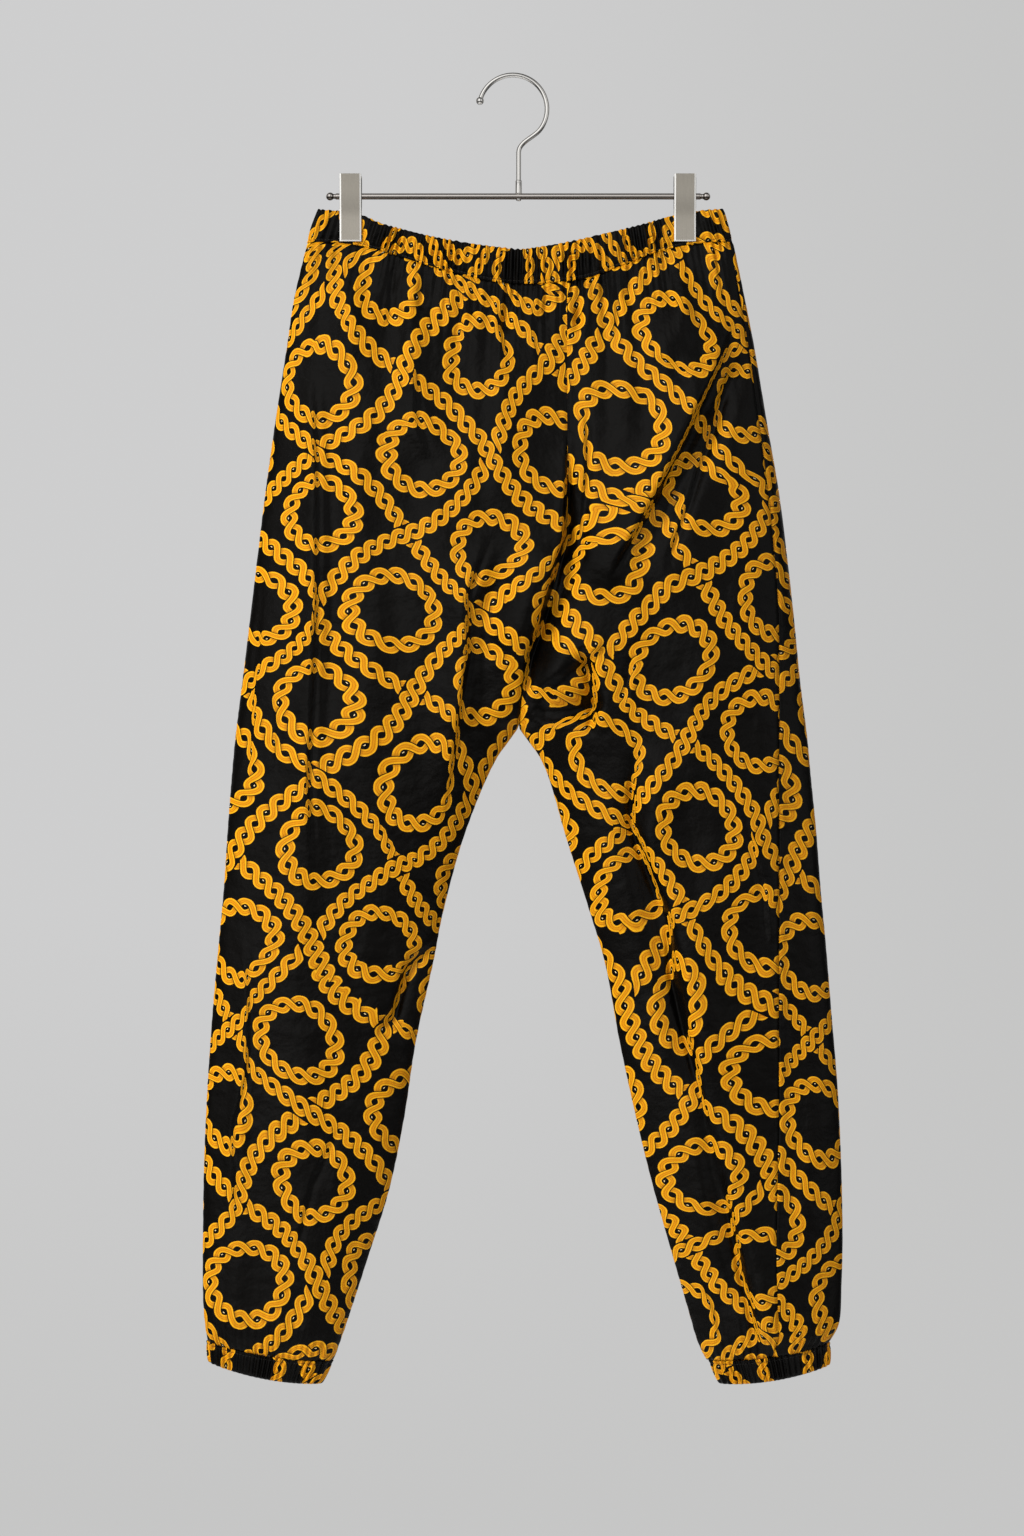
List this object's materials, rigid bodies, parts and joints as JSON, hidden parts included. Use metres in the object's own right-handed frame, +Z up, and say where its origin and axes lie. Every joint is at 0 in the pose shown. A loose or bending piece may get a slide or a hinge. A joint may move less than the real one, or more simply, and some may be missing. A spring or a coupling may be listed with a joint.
{
  "type": "joggers on a clip hanger",
  "caption": "Pull-on joggers with gathered waistband and ankle casings, hanging flat from a metal hanger with two clips and a wire hook.",
  "frame": {"origin": "inner side of the hook's crown, where a rail bears", "axes": "+Z up along the hanger's stem, front of the joggers faces -Y, +X to the right as seen from the front"},
  "size_m": [0.5572, 0.0689, 1.1399],
  "materials": {
    "cloth": "smooth satin-like black cloth with an all-over gold braid print",
    "clip_plate": "brushed, warm grey, bright edges",
    "hanger_wire": "smooth satin",
    "clip_spring": "spring wire, satin"
  },
  "bodies": {
    "root": {"front_left": "cloth", "front_right": "cloth", "back_left": "cloth", "back_right": "cloth", "waistband": "cloth", "cuff_left": "cloth", "cuff_right": "cloth", "hanger_bar": "hanger_wire", "hanger_hook": "hanger_wire", "hanger_collar": "hanger_wire", "hanger_nub": "hanger_wire", "clip_left_front": "clip_plate", "clip_left_back": "clip_plate", "clip_left_spring": "clip_spring", "clip_right_front": "clip_plate", "clip_right_back": "clip_plate", "clip_right_spring": "clip_spring"}
  },
  "joints": []
}
